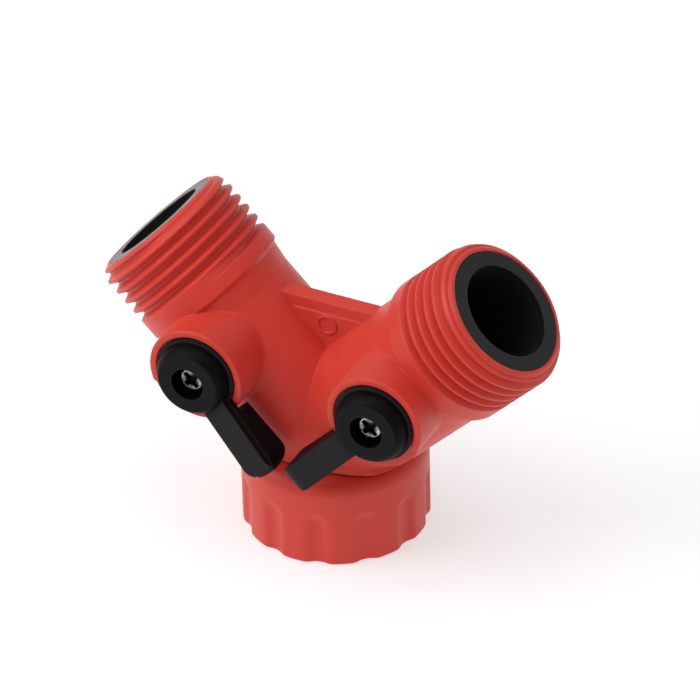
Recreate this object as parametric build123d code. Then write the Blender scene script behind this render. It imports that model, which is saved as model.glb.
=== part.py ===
"""Two-way hose splitter with a shut-off ball valve in each outlet.

Millimetres, +Z up.  The origin is the centre of the coupling nut's open end, on the inlet axis.
Two outlet arms rise at 45 degrees to the left (-X) and the right (+X).  The valve stems point to
the front (-Y) and carry the levers.  Each function returns one sub-part in its own place.
"""
from build123d import *
import math
import os

# ---------------------------------------------------------------- garden hose thread, 3/4-11.5 NH
PITCH = 25.4 / 11.5
MALE_CREST_R = 13.4
MALE_ROOT_R = 12.15
FEMALE_CREST_R = 12.35
FEMALE_ROOT_R = 13.65
FEMALE_CUT = (-1.5, 9.0)      # start and length of the nut's groove
MALE_GROOVE = (0.45, 1.8)   # groove's width at its bottom and at its mouth
FEMALE_GROOVE = (0.35, 1.15)
GROOVE_OVERCUT = 0.3        # how far the cutting shape stands out of the groove
LEAD_R = 12.1               # plain end in front of a male thread
THREAD_PHASE = {"left": 307.0, "right": 40.0}   # degrees, where each outlet's thread starts

# ---------------------------------------------------------------- outlet arms
ARM_TILT = 45.0             # from the vertical
CROSSING_Z = 18.25          # height at which the two arm axes meet
ARM_LENGTH = 46.4           # from the crossing to an outlet's face
ARM_R = 12.3
COLLAR_BACK = 14.2          # end of the threaded neck, measured back from the face
COLLAR_FLARE = ((14.9, 13.4), (15.6, 12.75), (19.0, 12.3))      # distance back and radius, collar to arm
THREAD_RELIEF = (12.45, 12.9, 12.25)    # distances back and radius
LEAD_IN = 0.6               # plain end in front of the first crest
LEAD_TAPER = (1.6, 0.8)     # length and depth of the tapered first crests
LEAD_CHAMFER = 0.5          # on the rim of an outlet's face
RUN_OUT = 2.6               # how far off centre the disc is that fills the groove's end
RUN_OUT_WIDTH = 1.5
HAIR = 0.02                 # keeps two surfaces from touching
CAVITY_R = 11.1             # bore that holds the valve
CAVITY_FLOOR = 14.0         # where that bore ends, along the arm
PASSAGE_R = 6.0
WEB_TOP_Z = 44.3
WEB_HALF = 1.5
WEB_PAD_TOP_Z = 42.1
WEB_PAD_HALF = 1.75
WEB_MARK_Z = 40.0
WEB_MARK_R = 1.9
WEB_MARK_LINE = 0.45

# ---------------------------------------------------------------- inlet
BODY_BOTTOM_Z = 17.2
BASE_R = 15.45              # round foot of the body, just above the nut
BASE_TOP = (18.3, 19.1)     # radius and height at which the foot runs out into the arms
NUT_TOP_Z = 16.9
NUT_R = 16.32
NUT_SHOULDER = 3.0          # rounding of the nut's top edge
FLUTES = 12
FLUTE_R = 3.6
FLUTE_DEPTH = 0.65
FLUTE_TOP_Z = 12.0
FLUTE_BLEND = 2.0
NUT_RIM = 0.6               # rounding of the nut's bottom edge
FEMALE_THREAD_TOP_Z = 8.6
NUT_RECESS_R = 12.6
NUT_LIP_Z = 13.7            # underside of the inward lip
SLEEVE_R = 9.4
SLEEVE_BORE_R = 7.6
SLEEVE_TOP_Z = 25.0
FLANGE_R = 12.2
FLANGE_Z = (11.5, 13.4)
WASHER_Z = (8.7, 11.2)
SNUG = 0.02                 # gap round a piece that is fixed in its seat
TURNING_GAP = 0.05          # radial gap round a shaft that turns in its hole

# ---------------------------------------------------------------- valves
# Distances along a stem are measured forward (-Y) from the plane of the arm axes.
VALVE_AT = 23.76            # stem's axis, along the arm from the crossing
BALL_R = 9.5
BALL_PORT_R = 5.6
BALL_SLOT_FLOOR = 7.5
SEAT_GAP = 0.3
SEAT_BORE_R = 6.0
SEAT_FACE = 5.4             # from the ball's centre to a seat's flat face
SEAT_BACK = 9.7             # from the ball's centre to a seat's back
RETAINER_R = 11.05
RETAINER_BORE_R = 8.37
RETAINER_STEP_R = 8.1
RETAINER_STEP_AT = 1.2      # below the outlet's face
RETAINER_GROOVE_R = 10.05
RETAINER_GROOVE = (36.6, 38.0)
BOSS_R = 8.75
BOSS_BLEND = 1.2            # fillet between a boss and its arm
BOSS_FLOOR = 17.7
RIM_FRONT = 18.35
RIM_INNER_R = 7.42
RIM_EDGE = 0.3
RIM_ENDS = (-20.0, 200.0)   # degrees in the XZ plane, from +X over the top
RECESS_R = 5.6
RECESS_FLOOR = 15.6
POCKET_R = 5.3
POCKET_FLOOR = 11.6
STEM_R = 3.6
STEM_FLANGE_R = 5.0
STEM_FLANGE = (9.9, 11.4)
STEM_SQUARE = 5.0
STEM_SHOULDER = 15.6
STEM_TOP = 17.9
BLADE_WIDTH = 2.4
BLADE_LENGTH = 7.0
BLADE_BACK = 7.6
ORING_AT = {"inner": 12.5, "outer": 14.2}
ORING_WIDTH = 0.9
ORING_GROOVE_R = 2.8

# ---------------------------------------------------------------- lever and its screw
HUB_R = 6.6
HUB_FACE_R = 5.45
HUB_FRONT = 21.3
HUB_FLANK = 19.1            # where the hub's curved flank begins
HUB_BACK = 18.0
HUB_FLANGE_R = 7.2
HUB_FLANGE_FRONT = 18.35
HUB_HOLE_R = 2.95
SPIGOT_R = 5.3
SPIGOT_BACK = 15.9
LEVER_WIDTH = 5.0
LEVER_REACH = 20.9          # from the stem's axis to the tip
LEVER_TIP_R = 3.0           # rounding of the tip seen from the side
LEVER_CORNER_R = 2.1        # rounding of the tip seen from the front
LEVER_TILT = 42             # slope of the tip on which its corners are rounded once more
LEVER_TILT_R = 1.2
TALL = 60                   # taller than anything it is cut with
LEVER_FRONT_NEAR = 20.1     # front face, beside the hub
LEVER_FRONT_FAR = 22.5      # front face, at the tip
LEVER_BACK = 15.4
LEVER_STEP = 9.2            # distance from the stem's axis at which the lever's back deepens
LEVER_PLATE = 0.9           # thickness of the front plate, in front of the side groove
LEVER_GROOVE = 0.5          # width of that groove
LEVER_GROOVE_DEPTH = 0.4
SCREW_R = 1.45
SCREW_HEAD_R = 2.45
SCREW_SEAT = 18.5
SCREW_HEAD = 1.25
SCREW_TIP = 12.2
CROSS_LONG = 3.3
CROSS_WIDE = 0.85
CROSS_DEEP = 0.9

SIDES = {"left": -1, "right": 1}


# ---------------------------------------------------------------- helpers
def along_arm(side, distance):
    """Frame on an arm's axis: its Z runs outward along the arm and its Y is the object's Y."""
    return Location((0, 0, CROSSING_Z)) * Rotation(0, side * ARM_TILT, 0) * Location((0, 0, distance))


def valve_frame(side):
    """Frame at a valve's centre: Z runs forward along the stem and Y runs outward along the arm."""
    return along_arm(side, VALVE_AT) * Rotation(90, 0, 0)


def rod(radius, low, high):
    return Pos(0, 0, (low + high) / 2) * Cylinder(radius, high - low)


def ring(outer, inner, low, high):
    return rod(outer, low, high) - rod(inner, low - 1, high + 1)


def rounded_ring(outer, inner, low, high):
    body = ring(outer, inner, low, high)
    return fillet(body.edges(), 0.45 * min(outer - inner, high - low))


def block(x_size, y_size, low, high):
    return Pos(0, 0, (low + high) / 2) * Box(x_size, y_size, high - low)


def cut_thread(solid, bottom_r, mouth_r, widths, start, length):
    """The solid with a right-hand helical groove cut round Z."""
    outward = 1 if mouth_r > bottom_r else -1
    narrow, wide = (width / 2 for width in widths)
    wide += (wide - narrow) / abs(mouth_r - bottom_r) * GROOVE_OVERCUT
    end_r = mouth_r + outward * GROOVE_OVERCUT
    outline = Polyline((bottom_r, -narrow), (bottom_r, narrow), (end_r, wide), (end_r, -wide), close=True)
    profile = Plane.XZ * make_face(outline)
    groove = sweep(profile, path=Helix(PITCH, length, bottom_r), is_frenet=True)
    threaded = solid - Pos(0, 0, start) * groove
    assert threaded.volume < solid.volume - 100, "the groove was not cut"
    return threaded


# ---------------------------------------------------------------- body
def threaded_neck(phase):
    """An outlet's threaded end, about Z, with the face at Z = 0.  The thread runs out in the collar."""
    neck = rod(MALE_CREST_R, -COLLAR_BACK, -LEAD_IN)
    neck = chamfer(neck.edges().group_by(Axis.Z)[-1], *LEAD_TAPER)
    neck += rod(LEAD_R, -COLLAR_BACK, 0)
    near, far, relief_r = THREAD_RELIEF
    neck -= ring(MALE_CREST_R + 1, relief_r, -far, -near)
    neck = cut_thread(neck, MALE_ROOT_R, MALE_CREST_R, MALE_GROOVE, 1 - far, far + 0.2)
    neck += ring(MALE_CREST_R, LEAD_R - 0.1, -far, -near)
    neck += Pos(RUN_OUT, 0, 0) * rod(MALE_CREST_R - RUN_OUT - HAIR, -near, RUN_OUT_WIDTH - near)
    neck = chamfer(neck.edges().group_by(Axis.Z)[-1], LEAD_CHAMFER)
    return Rotation(0, 0, phase) * neck


def collar_flare():
    """Rear of the collar, which runs out on the arm; about Z, with the outlet's face at Z = 0."""
    outline = [(radius, -distance) for distance, radius in COLLAR_FLARE]
    (front_r, _), (_, back) = outline[0], outline[-1]
    profile = Polyline((0, back), *reversed(outline), (front_r, -COLLAR_BACK), (0, -COLLAR_BACK), close=True)
    return revolve(Plane.XZ * make_face(profile), Axis.Z)


def stop_rim():
    """Raised C-shaped rim round a lever's hub; the lever stops against its ends.  Z is forward, Y is up."""
    back = BOSS_FLOOR - 1
    first, last = RIM_ENDS
    reach = 2 * BOSS_R
    angles = [first + (last - first) * i / 6 for i in range(7)]
    fan = [(reach * math.cos(math.radians(a)), reach * math.sin(math.radians(a))) for a in angles]
    sector = extrude(make_face(Polyline((0, 0), *fan, close=True)), RIM_FRONT + 1)
    rim = ring(BOSS_R, RIM_INNER_R, back, RIM_FRONT) & sector
    middle = (BOSS_R + RIM_INNER_R) / 2
    for angle in RIM_ENDS:
        rim += Rotation(0, 0, angle) * Pos(middle, 0, 0) * rod((BOSS_R - RIM_INNER_R) / 2, back, RIM_FRONT)
    return fillet(rim.edges().group_by(Axis.Z)[-1], RIM_EDGE)


def web_wedge(top, half):
    """Triangle between the arms, up to a level top edge, sunk half a millimetre into both arms."""
    half_width = top - CROSSING_Z - math.sqrt(2) * (ARM_R - 0.5)
    outline = Polyline((-half_width, top), (half_width, top), (0, top - half_width), close=True)
    return extrude(Plane.XZ * make_face(outline), half, both=True)


def web():
    mark = ring(WEB_MARK_R, WEB_MARK_R - WEB_MARK_LINE, -1, 0.25)
    mark = Pos(0, -WEB_PAD_HALF, WEB_MARK_Z) * Rotation(90, 0, 0) * mark
    return web_wedge(WEB_TOP_Z, WEB_HALF) + web_wedge(WEB_PAD_TOP_Z, WEB_PAD_HALF) + mark


def arm_with_boss(side):
    """Arm and valve boss, before anything is bored."""
    arm = along_arm(side, 0) * rod(ARM_R, -ARM_R, ARM_LENGTH - THREAD_RELIEF[1])
    boss = valve_frame(side) * rod(BOSS_R, 0, BOSS_FLOOR)
    joined = arm + boss
    blend = [e for e in joined.edges() if e.geom_type not in (GeomType.CIRCLE, GeomType.LINE)]
    return fillet(blend, BOSS_BLEND)


def foot_trim():
    """What is cut away round the body's foot, so that the foot is round where it meets the nut."""
    top_r, top_z = BASE_TOP
    outline = Polyline((BASE_R, 0), (40, 0), (40, top_z), (top_r, top_z), (BASE_R, BODY_BOTTOM_Z), close=True)
    return revolve(Plane.XZ * make_face(outline), Axis.Z)


def y_body():
    solid = arm_with_boss(-1) + arm_with_boss(1) + web()
    for name, side in SIDES.items():
        upright = Location(valve_frame(side).position) * Rotation(90, 0, 0)
        solid += along_arm(side, ARM_LENGTH) * collar_flare()
        solid += along_arm(side, ARM_LENGTH) * threaded_neck(THREAD_PHASE[name])
        solid += upright * stop_rim()
    solid -= block(100, 100, -30, BODY_BOTTOM_Z)
    solid -= foot_trim()
    solid -= rod(SLEEVE_R + SNUG, 0, SLEEVE_TOP_Z + SNUG)
    solid -= rod(SLEEVE_BORE_R, 0, SLEEVE_TOP_Z + 2)
    for side in SIDES.values():
        solid -= along_arm(side, 0) * rod(PASSAGE_R, 0, ARM_LENGTH)
        solid -= along_arm(side, 0) * rod(CAVITY_R, CAVITY_FLOOR, ARM_LENGTH + 1)
        stem_way = rod(POCKET_R, 5, POCKET_FLOOR) + rod(STEM_R + TURNING_GAP, 5, 30) + rod(RECESS_R, RECESS_FLOOR, 30)
        solid -= valve_frame(side) * stem_way
    return solid


# ---------------------------------------------------------------- inlet
def coupling_nut():
    nut = rod(NUT_R, 0, NUT_TOP_Z)
    flute = rod(FLUTE_R, -1, FLUTE_TOP_Z - FLUTE_R) + Pos(0, 0, FLUTE_TOP_Z - FLUTE_R) * Sphere(FLUTE_R)
    for i in range(FLUTES):
        turn = 360 / FLUTES * (i + 0.5)
        nut -= Rotation(0, 0, turn) * Pos(NUT_R + FLUTE_R - FLUTE_DEPTH, 0, 0) * flute
    flute_edges = [e for e in nut.edges() if 0 < e.center().Z < FLUTE_TOP_Z + 1 and e.geom_type != GeomType.CIRCLE]
    nut = fillet(flute_edges, FLUTE_BLEND)
    nut = fillet(nut.edges().group_by(Axis.Z)[-1], NUT_SHOULDER)
    nut = fillet(nut.edges().group_by(Axis.Z)[0], NUT_RIM)
    nut -= rod(SLEEVE_R + TURNING_GAP, 0, NUT_TOP_Z + 1)
    nut -= rod(FEMALE_CREST_R, -1, NUT_LIP_Z)
    nut -= rod(NUT_RECESS_R, FEMALE_THREAD_TOP_Z, NUT_LIP_Z)
    return cut_thread(nut, FEMALE_ROOT_R, FEMALE_CREST_R, FEMALE_GROOVE, *FEMALE_CUT)


def inlet_sleeve():
    """Flanged sleeve fixed in the body.  The nut turns on it and hangs on its flange."""
    barrel = rod(SLEEVE_R, FLANGE_Z[0], SLEEVE_TOP_Z)
    barrel = chamfer(barrel.edges().group_by(Axis.Z)[-1], 0.5)
    return barrel + rod(FLANGE_R, *FLANGE_Z) - rod(SLEEVE_BORE_R, 0, SLEEVE_TOP_Z + 1)


def inlet_washer():
    washer = ring(NUT_RECESS_R - SNUG, SLEEVE_BORE_R, *WASHER_Z)
    return fillet(washer.edges(), 0.4)


# ---------------------------------------------------------------- valve parts
def ball(side):
    """Open at rest: the port lies along the arm."""
    sphere = Sphere(BALL_R) - rod(BALL_PORT_R, -BALL_R, BALL_R)
    sphere = fillet(sphere.edges(), 0.3)
    slot = Pos(0, -BALL_R, 0) * Box(BLADE_WIDTH + 0.1, 2 * (BALL_R - BALL_SLOT_FLOOR), 2 * BALL_R)
    return along_arm(side, VALVE_AT) * (sphere - slot)


def seat(side, facing):
    """Ring that seals on the ball; facing is +1 on the outlet's side and -1 on the inlet's side."""
    low, high = sorted((facing * SEAT_FACE, facing * SEAT_BACK))
    body = ring(RETAINER_R - SNUG, SEAT_BORE_R, low, high) - Sphere(BALL_R + SEAT_GAP)
    return along_arm(side, VALVE_AT) * body


def seat_retainer(side):
    """Sleeve that holds the valve in; its end is the ring that shows in the outlet's face."""
    low = VALVE_AT + SEAT_BACK + SNUG
    body = rod(RETAINER_R, low, ARM_LENGTH)
    body = chamfer(body.edges().group_by(Axis.Z)[0], 0.4)
    body = fillet(body.edges().group_by(Axis.Z)[-1], 0.2)
    body -= rod(RETAINER_STEP_R, low - 1, ARM_LENGTH + 1)
    body -= rod(RETAINER_BORE_R, ARM_LENGTH - RETAINER_STEP_AT, ARM_LENGTH + 1)
    body -= ring(RETAINER_R + 1, RETAINER_GROOVE_R, *RETAINER_GROOVE)
    return along_arm(side, 0) * body


def retainer_oring(side):
    low, high = RETAINER_GROOVE
    return along_arm(side, 0) * rounded_ring(RETAINER_R, RETAINER_GROOVE_R + SNUG, low + 0.1, high - 0.1)


def stem(side):
    """Blade in the ball's slot, flange behind the boss, journal with two grooves, and a square for the lever."""
    body = block(BLADE_WIDTH, BLADE_LENGTH, BLADE_BACK, STEM_FLANGE[0] + 0.5)
    body += rod(STEM_FLANGE_R, *STEM_FLANGE)
    body += rod(STEM_R, STEM_FLANGE[0], STEM_SHOULDER)
    square = block(STEM_SQUARE, STEM_SQUARE, STEM_SHOULDER - 1, STEM_TOP)
    body += fillet(square.edges().filter_by(Axis.Z), 0.3) & rod(STEM_R, 0, STEM_TOP)
    for distance in ORING_AT.values():
        body -= ring(STEM_R + 1, ORING_GROOVE_R, distance - ORING_WIDTH / 2, distance + ORING_WIDTH / 2)
    body -= rod(SCREW_R + SNUG, SCREW_TIP - 0.4, STEM_TOP + 1)
    return valve_frame(side) * body


def stem_oring(side, distance):
    half = ORING_WIDTH / 2 - SNUG
    return valve_frame(side) * rounded_ring(STEM_R, ORING_GROOVE_R + SNUG, distance - half, distance + half)


def lever_screw(side):
    """Pan-head screw with a cross recess."""
    head = rod(SCREW_HEAD_R, SCREW_SEAT, SCREW_SEAT + SCREW_HEAD)
    head = fillet(head.edges().group_by(Axis.Z)[-1], 0.7)
    top = SCREW_SEAT + SCREW_HEAD
    cross = block(CROSS_LONG, CROSS_WIDE, top - CROSS_DEEP, top + 1)
    cross += Rotation(0, 0, 90) * cross
    return valve_frame(side) * (head + rod(SCREW_R, SCREW_TIP, SCREW_SEAT) - cross)


def lever_hub():
    """Hub with a flat face, a curved flank and a deep screw hole; Z is forward."""
    flank_height = HUB_FRONT - HUB_FLANK
    middle = (HUB_R - 0.3 * (HUB_R - HUB_FACE_R), HUB_FLANK + 0.6 * flank_height)
    start = (0, HUB_BACK)
    corner = (HUB_R, HUB_BACK)
    base = Polyline((0, HUB_FRONT), start, corner, (HUB_R, HUB_FLANK))
    flank = ThreePointArc((HUB_R, HUB_FLANK), middle, (HUB_FACE_R, HUB_FRONT))
    face = Line((HUB_FACE_R, HUB_FRONT), (0, HUB_FRONT))
    return revolve(Plane.XZ * make_face(base + flank + face), Axis.Z)


def tip_column(width, reach, corner_r):
    """Tall block from the stem's axis to its rounded corners along -Y."""
    plan = Pos(0, -reach / 2, 0) * Box(width, reach, TALL)
    tip_edges = plan.edges().filter_by(Axis.Z).group_by(Axis.Y)[0]
    return fillet(tip_edges, corner_r)


def lever_plan(inset):
    """Column with the lever's outline seen from the front, moved in by the inset."""
    return tip_column(LEVER_WIDTH - 2 * inset, LEVER_REACH - inset, LEVER_CORNER_R - inset)


def tilted_plan():
    """Column across the slope of the rounded tip, which takes off the tip's corners there too."""
    tilt = math.radians(LEVER_TILT)
    along = (LEVER_REACH - LEVER_TIP_R) * math.cos(tilt)
    forward = (LEVER_FRONT_FAR - LEVER_TIP_R) * math.sin(tilt)
    reach = along + forward + LEVER_TIP_R
    return Rotation(-LEVER_TILT, 0, 0) * tip_column(LEVER_WIDTH + HAIR, reach, LEVER_TILT_R)


def lever_arm():
    """Finger lever along -Y.  Its front face leans forward towards the rounded tip."""
    outline = Polyline(
        (0, HUB_BACK),
        (LEVER_STEP, HUB_BACK),
        (LEVER_STEP, LEVER_BACK),
        (LEVER_REACH, LEVER_BACK),
        (LEVER_REACH, LEVER_FRONT_FAR),
        (HUB_R - 1, LEVER_FRONT_NEAR),
        (0, LEVER_FRONT_NEAR),
        close=True,
    )
    side_plane = Plane(origin=(0, 0, 0), x_dir=(0, -1, 0), z_dir=(-1, 0, 0))
    bar = extrude(side_plane * make_face(outline), LEVER_WIDTH, both=True)
    tip_corners = bar.edges().filter_by(Axis.X).group_by(Axis.Y)[0]
    bar = fillet(tip_corners, LEVER_TIP_R)
    near = LEVER_FRONT_NEAR - LEVER_PLATE
    far = LEVER_FRONT_FAR - LEVER_PLATE
    band = Polyline(
        (HUB_R - 1, near - LEVER_GROOVE),
        (LEVER_REACH + 1, far - LEVER_GROOVE),
        (LEVER_REACH + 1, far),
        (HUB_R - 1, near),
        close=True,
    )
    groove = extrude(side_plane * make_face(band), LEVER_WIDTH, both=True) - lever_plan(LEVER_GROOVE_DEPTH)
    return (bar & lever_plan(0) & tilted_plan()) - groove


def lever(side):
    body = lever_hub() + lever_arm() + rod(SPIGOT_R, SPIGOT_BACK, HUB_BACK)
    body += rod(HUB_FLANGE_R, HUB_BACK, HUB_FLANGE_FRONT)
    body -= rod(HUB_HOLE_R, SCREW_SEAT, HUB_FRONT + 1)
    body -= rod(SCREW_R + 0.1, SPIGOT_BACK - 1, HUB_FRONT)
    socket = STEM_SQUARE + 2 * SNUG
    body -= block(socket, socket, SPIGOT_BACK - 1, STEM_TOP + SNUG)
    return valve_frame(side) * body


# ---------------------------------------------------------------- all sub-parts
def sub_parts():
    nodes = {
        "y_body": y_body(),
        "coupling_nut": coupling_nut(),
        "inlet_sleeve": inlet_sleeve(),
        "inlet_washer": inlet_washer(),
    }
    for name, side in SIDES.items():
        nodes[f"{name}_ball"] = ball(side)
        nodes[f"{name}_inner_seat"] = seat(side, -1)
        nodes[f"{name}_outer_seat"] = seat(side, 1)
        nodes[f"{name}_seat_retainer"] = seat_retainer(side)
        nodes[f"{name}_retainer_oring"] = retainer_oring(side)
        nodes[f"{name}_stem"] = stem(side)
        for place, distance in ORING_AT.items():
            nodes[f"{name}_stem_oring_{place}"] = stem_oring(side, distance)
        nodes[f"{name}_lever"] = lever(side)
        nodes[f"{name}_lever_screw"] = lever_screw(side)
    return nodes


os.makedirs("parts", exist_ok=True)
for node, shape in sub_parts().items():
    export_step(shape, f"parts/{node}.step")
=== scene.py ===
"""Looks of the two-way hose splitter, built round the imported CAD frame."""
import math

import bpy
from mathutils import Matrix, Vector


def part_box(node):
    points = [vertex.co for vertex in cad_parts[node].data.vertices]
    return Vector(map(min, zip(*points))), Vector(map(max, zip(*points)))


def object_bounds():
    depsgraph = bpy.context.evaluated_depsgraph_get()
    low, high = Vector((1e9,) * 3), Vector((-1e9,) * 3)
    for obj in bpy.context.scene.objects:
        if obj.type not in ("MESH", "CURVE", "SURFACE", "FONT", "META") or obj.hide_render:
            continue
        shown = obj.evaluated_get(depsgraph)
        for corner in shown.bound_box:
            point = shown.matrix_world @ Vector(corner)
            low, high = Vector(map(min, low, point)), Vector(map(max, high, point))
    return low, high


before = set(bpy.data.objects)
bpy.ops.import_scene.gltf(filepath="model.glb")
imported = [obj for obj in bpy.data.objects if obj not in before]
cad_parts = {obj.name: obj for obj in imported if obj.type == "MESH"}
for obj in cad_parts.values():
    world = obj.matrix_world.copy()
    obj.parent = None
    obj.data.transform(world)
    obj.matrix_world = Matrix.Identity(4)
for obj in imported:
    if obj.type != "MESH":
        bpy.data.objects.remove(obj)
cad_box = [list(corner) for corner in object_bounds()]

MM = 0.001
SIDES = {"left": -1, "right": 1}
FORWARD = (0, -1, 0)
WHITE = (1.0, 1.0, 1.0, 1.0)


# ---------------------------------------------------------------- colours and shader nodes
def grey(level):
    return (level, level, level, 1.0)


def linear(red, green, blue):
    """Scene-linear colour from display values of 0 to 255."""
    shares = [value / 255 for value in (red, green, blue)]
    return [v / 12.92 if v <= 0.04045 else ((v + 0.055) / 1.055) ** 2.4 for v in shares] + [1.0]


def new_material(name):
    """A material with nothing but a shader, its node tree and the shader."""
    material = bpy.data.materials.new(name)
    material.use_nodes = True
    tree = material.node_tree
    tree.nodes.clear()
    output = tree.nodes.new("ShaderNodeOutputMaterial")
    shader = tree.nodes.new("ShaderNodeBsdfPrincipled")
    tree.links.new(shader.outputs["BSDF"], output.inputs["Surface"])
    return material, tree, shader


def feed(tree, socket, value):
    """Links the socket to another node's output, or sets it to a plain value."""
    if isinstance(value, bpy.types.NodeSocket):
        tree.links.new(value, socket)
    else:
        socket.default_value = value


def coordinate(tree, kind):
    """A point's place, "Object", or its "Normal", in coordinates that move with its part."""
    return tree.nodes.new("ShaderNodeTexCoord").outputs[kind]


def arithmetic(tree, operation, first, second):
    node = tree.nodes.new("ShaderNodeMath")
    node.operation = operation
    feed(tree, node.inputs[0], first)
    feed(tree, node.inputs[1], second)
    return node.outputs["Value"]


def vector_math(tree, operation, first, second=None):
    """Result of an operation on vectors, which is one number for a dot product or a length."""
    node = tree.nodes.new("ShaderNodeVectorMath")
    node.operation = operation
    feed(tree, node.inputs[0], first)
    if second is not None:
        feed(tree, node.inputs[1], second)
    return node.outputs["Value" if operation in ("DOT_PRODUCT", "LENGTH") else "Vector"]


def smooth_step(tree, value, level, soft):
    """0 up to the level, then rising to 1 over soft."""
    node = tree.nodes.new("ShaderNodeMapRange")
    node.interpolation_type = "SMOOTHSTEP"
    node.inputs["From Min"].default_value = level
    node.inputs["From Max"].default_value = level + soft
    tree.links.new(value, node.inputs["Value"])
    return node.outputs["Result"]


def mix(tree, factor, first, second):
    """The first colour where the factor is 0, the second where it is 1."""
    node = tree.nodes.new("ShaderNodeMix")
    node.data_type = "RGBA"
    colour_a, colour_b = node.inputs[6], node.inputs[7]
    feed(tree, node.inputs[0], factor)
    feed(tree, colour_a, first)
    feed(tree, colour_b, second)
    return node.outputs[2]


def ramp(tree, value, low, high, low_colour, high_colour):
    """One colour up to the low value, another from the high value, and a blend between."""
    node = tree.nodes.new("ShaderNodeValToRGB")
    first, last = node.color_ramp.elements
    first.position, last.position = low, high
    first.color, last.color = low_colour, high_colour
    tree.links.new(value, node.inputs["Fac"])
    return node.outputs["Color"]


def noise(tree, size, detail=2.0, rough=0.5):
    """Noise whose features are about size metres across."""
    texture = tree.nodes.new("ShaderNodeTexNoise")
    texture.inputs["Scale"].default_value = 1 / size
    texture.inputs["Detail"].default_value = detail
    texture.inputs["Roughness"].default_value = rough
    tree.links.new(coordinate(tree, "Object"), texture.inputs["Vector"])
    return texture.outputs["Fac"]


def rounded_normal(tree, radius):
    """The surface's normal, with its edges rounded."""
    bevel = tree.nodes.new("ShaderNodeBevel")
    bevel.samples = 6
    bevel.inputs["Radius"].default_value = radius
    return bevel.outputs["Normal"]


def bump(tree, height, distance, strength, normal):
    """The normal, tilted by a relief that is up to distance metres high."""
    node = tree.nodes.new("ShaderNodeBump")
    node.inputs["Strength"].default_value = strength
    node.inputs["Distance"].default_value = distance
    tree.links.new(height, node.inputs["Height"])
    tree.links.new(normal, node.inputs["Normal"])
    return node.outputs["Normal"]


# ---------------------------------------------------------------- masks, from 0 to 1
def edge_mask(tree, radius):
    """0 on open faces, rising where an edge is being rounded."""
    geometry = tree.nodes.new("ShaderNodeNewGeometry")
    rounded = rounded_normal(tree, radius)
    alike = vector_math(tree, "DOT_PRODUCT", rounded, geometry.outputs["Normal"])
    return arithmetic(tree, "SUBTRACT", 1.0, alike)


def beyond(tree, direction, level, soft):
    """0 up to level metres from the origin along the direction, rising to 1 over soft metres."""
    along = vector_math(tree, "DOT_PRODUCT", coordinate(tree, "Object"), direction)
    return smooth_step(tree, along, level, soft)


def facing(tree, direction, level, soft):
    """0 on surfaces turned away from the direction, rising to 1 on those that face it."""
    along = vector_math(tree, "DOT_PRODUCT", coordinate(tree, "Normal"), direction)
    return smooth_step(tree, along, level, soft)


def off_axis(tree, centre, radius, soft):
    """0 up to radius metres from the line along Y through the centre, rising to 1 outside it."""
    offset = vector_math(tree, "SUBTRACT", coordinate(tree, "Object"), centre)
    across = vector_math(tree, "MULTIPLY", offset, (1, 0, 1))
    return smooth_step(tree, vector_math(tree, "LENGTH", across), radius, soft)


def way_out(side):
    """Direction of an outlet's arm, halfway between up and sideways."""
    return Vector((SIDES[side], 0, 1)).normalized()


def face_level(side):
    """How far the outlet's face is from the origin, along its arm."""
    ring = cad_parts[f"{side}_seat_retainer"].data
    return max(vertex.co.dot(way_out(side)) for vertex in ring.vertices)


def valve_centre(side):
    """A point on the line along Y that the lever, its hub and its screw are centred on."""
    low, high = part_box(f"{side}_lever_screw")
    return (low + high) / 2


def head_level(side):
    """How far forward of the origin the top of the screw's head is."""
    low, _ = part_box(f"{side}_lever_screw")
    return -low.y


# where each mask begins to rise, and over how much it does
HUB_HOLE_R, HUB_HOLE_SOFT = 2.96 * MM, 0.10 * MM
HUB_R, HUB_SOFT = 5.6 * MM, 1.6 * MM
CROSS_R, CROSS_SOFT = 0.8 * MM, 1.1 * MM
FRONT, FRONT_SOFT = 0.75, 0.2                   # cosines of the angle to straight ahead
MOUTH_DEPTH, MOUTH_SOFT = 0.35 * MM, 0.25 * MM  # below the outlet's face
LINE_DEPTHS, LINE_SOFT = (2.4 * MM, 2.2 * MM), 0.1 * MM     # below it too
HEAD_DEPTH, HEAD_SOFT = 0.55 * MM, 0.3 * MM     # below the top of the screw's head

HUB_FRONT_LIGHT = 0.3              # painted light on the hub's front, as a share of the lever's
LINE_HIGHLIGHT_SHARE = 0.8            # lightness of the painted highlight line inside the outlet, as a share of the ring's face


def screw_hole_shade(side):
    """Painted shade: black in the hub's hole, round the screw."""
    return lambda tree: off_axis(tree, valve_centre(side), HUB_HOLE_R, HUB_HOLE_SOFT)


def lit_front_mask(side):
    """The lever's front faces, painted lighter as though lit from straight ahead; less so on the
    hub.
    """
    def mask(tree):
        front = facing(tree, FORWARD, FRONT, FRONT_SOFT)
        past_hub = off_axis(tree, valve_centre(side), HUB_R, HUB_SOFT)
        gained = arithmetic(tree, "MULTIPLY", past_hub, 1 - HUB_FRONT_LIGHT)
        return arithmetic(tree, "MULTIPLY", front, arithmetic(tree, "ADD", gained, HUB_FRONT_LIGHT))
    return mask


def bore_shade(side):
    """Painted shade, black inside the outlet, but for a thin painted highlight line round its
    wall.

    The line is only a colour, and lies deeper than the step that the wall has.
    """
    def mask(tree):
        def above(depth, soft):
            return beyond(tree, way_out(side), face_level(side) - depth, soft)

        face = above(MOUTH_DEPTH, MOUTH_SOFT)
        low, high = (above(depth, LINE_SOFT) for depth in LINE_DEPTHS)
        band = arithmetic(tree, "SUBTRACT", low, high)
        line = arithmetic(tree, "MULTIPLY", band, LINE_HIGHLIGHT_SHARE)
        return arithmetic(tree, "MAXIMUM", face, line)
    return mask


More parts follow.
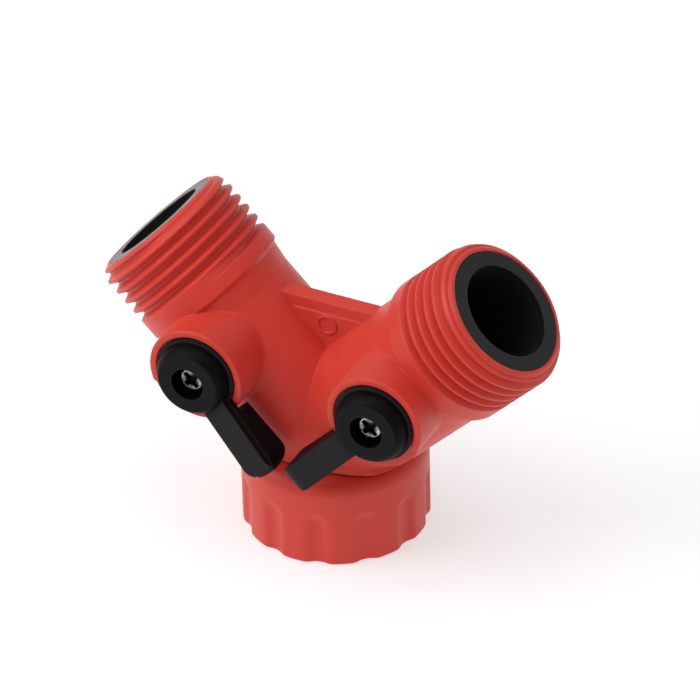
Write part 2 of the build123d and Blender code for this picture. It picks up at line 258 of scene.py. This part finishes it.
def screw_shade(side):
    """Painted shade, dark down in the cross and round it; the steel's own colour towards the
    head's rim.
    """
    def mask(tree):
        top = beyond(tree, FORWARD, head_level(side) - HEAD_DEPTH, HEAD_SOFT)
        rim = off_axis(tree, valve_centre(side), CROSS_R, CROSS_SOFT)
        return arithmetic(tree, "MULTIPLY", top, rim)
    return mask


# ---------------------------------------------------------------- materials
DRIFT = 14 * MM             # size of the slow drift in a plastic's colour
SPECKLE = 0.5 * MM          # size of the fine speckle in it
SPECKLE_SHARE = 0.12
RUB_AND_HIGHLIGHT_REACH = 2.5             # width of an edge's paler colour, from rubbing and a painted highlight, in edge radii
PATCH = 1.2 * MM            # size of the patches in the painted front light
GLOSS_PATCH = 3 * MM        # size of the patches in the roughness
GLOSS_SPREAD = 0.05         # how far those stray from the mean
WAVE, WAVE_HEIGHT = 6 * MM, 0.03 * MM           # slow waves in a moulded surface
DEEP_ROUGH = 0.85           # roughness in the deep places
PLASTIC_IOR = 1.49
HAZE_ROUGH = 0.5            # roughness of the haze, which is the shader's sheen
SOFT_RADIUS = (1.0, 0.25, 0.15)                 # red light goes furthest under the surface
SOFT_SCALE = 0.6 * MM


def rubbed_and_highlit(colour):
    """The paler colour of an edge, partly from rubbing and partly a painted highlight."""
    return [min(1.0, 1.6 * v + 0.03) for v in colour[:3]] + [1.0]


def plastic(name, dark, light, rough, grain, grain_height, edge_radius, edge_rub_and_highlight=0.0,
            soft=0.0, shine=0.5, haze=0.0, depth=None, front_light=None, front_light_colour=None):
    """Moulded plastic with a drifting colour, a fine grain and rounded edges, slightly paler
    from rubbing and a painted highlight.

    The depth mask is 0 in the deep places, where black is painted in as shade and the plastic is
    dull.
    The front-light mask is 1 where the plastic is painted its lighter front colour, as though
    lit from ahead.
    """
    material, tree, shader = new_material(name)
    colour = ramp(tree, noise(tree, DRIFT, 3.0), 0.35, 0.65, dark, light)
    colour = mix(tree, SPECKLE_SHARE, colour, mix(tree, noise(tree, SPECKLE), dark, light))
    # edges made paler: partly rubbing, partly a painted highlight
    if edge_rub_and_highlight:
        edges = edge_mask(tree, RUB_AND_HIGHLIGHT_REACH * edge_radius)
        share = arithmetic(tree, "MULTIPLY", edges, edge_rub_and_highlight)
        colour = mix(tree, share, colour, rubbed_and_highlit(light))
    # painted light: faces that look ahead are turned, in patches, to a lighter colour
    if front_light:
        patchy = ramp(tree, noise(tree, PATCH, 5.0, 0.7), 0.25, 0.75, grey(0.75), grey(1.0))
        colour = mix(tree, arithmetic(tree, "MULTIPLY", front_light(tree), patchy), colour, front_light_colour)
    smooth, dull = grey(rough - GLOSS_SPREAD), grey(rough + GLOSS_SPREAD)
    gloss = ramp(tree, noise(tree, GLOSS_PATCH, 4.0), 0.3, 0.7, smooth, dull)
    # painted shade: black in the deep places that the depth mask marks with 0
    if depth:
        mask = depth(tree)
        colour = mix(tree, mask, grey(0.0), colour)
        gloss = mix(tree, mask, grey(DEEP_ROUGH), gloss)
    tree.links.new(colour, shader.inputs["Base Color"])
    tree.links.new(gloss, shader.inputs["Roughness"])

    normal = rounded_normal(tree, edge_radius)
    normal = bump(tree, noise(tree, WAVE, 1.0), WAVE_HEIGHT, 0.25, normal)
    normal = bump(tree, noise(tree, grain, 3.0, 0.6), grain_height, 0.6, normal)
    tree.links.new(normal, shader.inputs["Normal"])

    shader.inputs["IOR"].default_value = PLASTIC_IOR
    shader.inputs["Specular IOR Level"].default_value = shine
    shader.inputs["Sheen Weight"].default_value = haze
    shader.inputs["Sheen Roughness"].default_value = HAZE_ROUGH
    if soft:
        shader.inputs["Subsurface Weight"].default_value = soft
        shader.inputs["Subsurface Radius"].default_value = SOFT_RADIUS
        shader.inputs["Subsurface Scale"].default_value = SOFT_SCALE
    return material


def steel(name, unshaded):
    """Bare steel; its mask is 0 where shade is painted in, near-black."""
    material, tree, shader = new_material(name)
    dull, clean = linear(105, 105, 108), linear(205, 205, 208)
    colour = ramp(tree, noise(tree, 0.7 * MM, 3.0), 0.35, 0.7, dull, clean)
    # painted shade: near-black where the mask is 0
    colour = mix(tree, unshaded(tree), grey(0.006), colour)
    tree.links.new(colour, shader.inputs["Base Color"])
    shader.inputs["Metallic"].default_value = 1.0
    gloss = ramp(tree, noise(tree, 0.4 * MM), 0.3, 0.7, grey(0.16), grey(0.32))
    tree.links.new(gloss, shader.inputs["Roughness"])
    normal = rounded_normal(tree, 0.2 * MM)
    normal = bump(tree, noise(tree, 0.35 * MM), 0.02 * MM, 0.5, normal)
    tree.links.new(normal, shader.inputs["Normal"])
    return material


# red body: its edges are made paler, partly as a painted highlight
RED = plastic(
    "moulded_red", linear(196, 44, 26), linear(205, 49, 30), rough=0.47,
    grain=0.28 * MM, grain_height=0.010 * MM, edge_radius=0.42 * MM, edge_rub_and_highlight=0.30,
    soft=0.12, shine=0.45, haze=0.10,
)
# black levers: painted highlight along edges, painted light on the front faces, painted shade in
# the screw hole
LEVER = {
    side: plastic(
        f"grained_black_{side}", linear(5, 5, 6), linear(9, 9, 10), rough=0.46,
        grain=0.16 * MM, grain_height=0.020 * MM, edge_radius=0.35 * MM, edge_rub_and_highlight=1.1,
        shine=0.07, depth=screw_hole_shade(side), front_light=lit_front_mask(side), front_light_colour=linear(37, 37, 38),
    )
    for side in SIDES
}
# grey rings: painted shade inside the outlet, with a painted highlight line
RING = {
    side: plastic(
        f"grey_ring_{side}", linear(24, 25, 26), linear(29, 30, 31), rough=0.32,
        grain=0.35 * MM, grain_height=0.006 * MM, edge_radius=0.15 * MM, edge_rub_and_highlight=0.4,
        shine=0.28, depth=bore_shade(side),
    )
    for side in SIDES
}
DARK = plastic(
    "inner_black", linear(6, 6, 6), linear(9, 9, 9), rough=0.60,
    grain=0.30 * MM, grain_height=0.008 * MM, edge_radius=0.20 * MM, shine=0.15,
)
SEAT = plastic(
    "seat_grey", linear(7, 7, 7), linear(11, 11, 11), rough=0.55,
    grain=0.30 * MM, grain_height=0.006 * MM, edge_radius=0.15 * MM, shine=0.15,
)
RUBBER = plastic(
    "seal_rubber", linear(18, 18, 18), linear(26, 26, 26), rough=0.72,
    grain=0.12 * MM, grain_height=0.012 * MM, edge_radius=0.15 * MM,
)
STEEL = {side: steel(f"screw_steel_{side}", screw_shade(side)) for side in SIDES}

# by the node's name, without its side
NODE_MATERIALS = {
    "y_body": RED,
    "coupling_nut": RED,
    "inlet_sleeve": DARK,
    "inlet_washer": RUBBER,
    "ball": DARK,
    "inner_seat": SEAT,
    "outer_seat": SEAT,
    "seat_retainer": RING,
    "retainer_oring": RUBBER,
    "stem": DARK,
    "stem_oring_inner": RUBBER,
    "stem_oring_outer": RUBBER,
    "lever": LEVER,
    "lever_screw": STEEL,
}


def paint():
    """Gives every node its material, or its side's where each side has its own."""
    for name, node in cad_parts.items():
        side, _, rest = name.partition("_")
        material = NODE_MATERIALS[rest if side in SIDES else name]
        node.data.materials.clear()
        node.data.materials.append(material[side] if isinstance(material, dict) else material)


# ---------------------------------------------------------------- floor, light and camera
FLOOR_HALF = 3.0
FLOOR_GREY = 0.5
FLOOR_GLOW = 0.55           # light that the floor gives off, so that it looks white
FLOOR_ROUGH = 0.9
SKY = 0.50                  # strength of the even light from all round
LIGHTS_AT = (0, 0, 30 * MM)
# place, side of the square in metres and power in watts
SOFTBOXES = {
    "overhead": ((0.0, -0.1, 1.3), 1.2, 5.5),
    "key": ((-0.6, -0.5, 0.7), 0.7, 5.6),
}

# the camera looks past a point that lies a little off the meeting of the arms' axes
AZIMUTH, ELEVATION, ROLL = 27.23, 34.50, -1.44          # degrees
DISTANCE = 1.0
ARMS_MEET = Vector((0, 0, 18.25 * MM))
SHIFT_RIGHT, SHIFT_UP = 2.67 * MM, 12.73 * MM           # of the view's middle from there
SENSOR, LENS = 36.0, 298.9                              # mm
CLIP = (0.01, 20.0)


def floor():
    mesh = bpy.data.meshes.new("floor")
    corners = [(-1, -1), (1, -1), (1, 1), (-1, 1)]
    points = [(FLOOR_HALF * x, FLOOR_HALF * y, 0) for x, y in corners]
    mesh.from_pydata(points, [], [(0, 1, 2, 3)])
    plane = bpy.data.objects.new("floor", mesh)
    plane.location.z = cad_box[0][2]
    bpy.context.collection.objects.link(plane)
    material, _, shader = new_material("floor_white")
    shader.inputs["Base Color"].default_value = grey(FLOOR_GREY)
    shader.inputs["Roughness"].default_value = FLOOR_ROUGH
    shader.inputs["Emission Color"].default_value = WHITE
    shader.inputs["Emission Strength"].default_value = FLOOR_GLOW
    plane.data.materials.append(material)


def softbox(name, place, size, power):
    light = bpy.data.lights.new(name, "AREA")
    light.shape = "SQUARE"
    light.size = size
    light.energy = power
    lamp = bpy.data.objects.new(name, light)
    lamp.location = place
    lamp.rotation_euler = (Vector(LIGHTS_AT) - Vector(place)).to_track_quat("-Z", "Y").to_euler()
    bpy.context.collection.objects.link(lamp)


def studio():
    """Even light from all round, two soft boxes and plain colours."""
    scene = bpy.context.scene
    scene.world = bpy.data.worlds.new("studio")
    scene.world.use_nodes = True
    background = scene.world.node_tree.nodes["Background"]
    background.inputs["Color"].default_value = WHITE
    background.inputs["Strength"].default_value = SKY
    for name, (place, size, power) in SOFTBOXES.items():
        softbox(name, place, size, power)
    scene.view_settings.view_transform = "Standard"
    scene.view_settings.look = "None"


def camera():
    """Looks down from the front right, from a long way off."""
    azimuth, elevation, roll = (math.radians(angle) for angle in (AZIMUTH, ELEVATION, ROLL))
    back = Vector((
        math.sin(azimuth) * math.cos(elevation),
        -math.cos(azimuth) * math.cos(elevation),
        math.sin(elevation),
    ))
    level = Vector((math.cos(azimuth), math.sin(azimuth), 0))
    raised = back.cross(level)
    right = math.cos(roll) * level + math.sin(roll) * raised
    up = -math.sin(roll) * level + math.cos(roll) * raised
    aim = ARMS_MEET + SHIFT_RIGHT * right + SHIFT_UP * up
    data = bpy.data.cameras.new("camera")
    data.sensor_width, data.lens = SENSOR, LENS
    data.clip_start, data.clip_end = CLIP
    eye = bpy.data.objects.new("camera", data)
    turn = Matrix((right, up, back)).transposed()
    eye.matrix_world = Matrix.Translation(aim + DISTANCE * back) @ turn.to_4x4()
    bpy.context.collection.objects.link(eye)
    bpy.context.scene.camera = eye


paint()
floor()
studio()
camera()
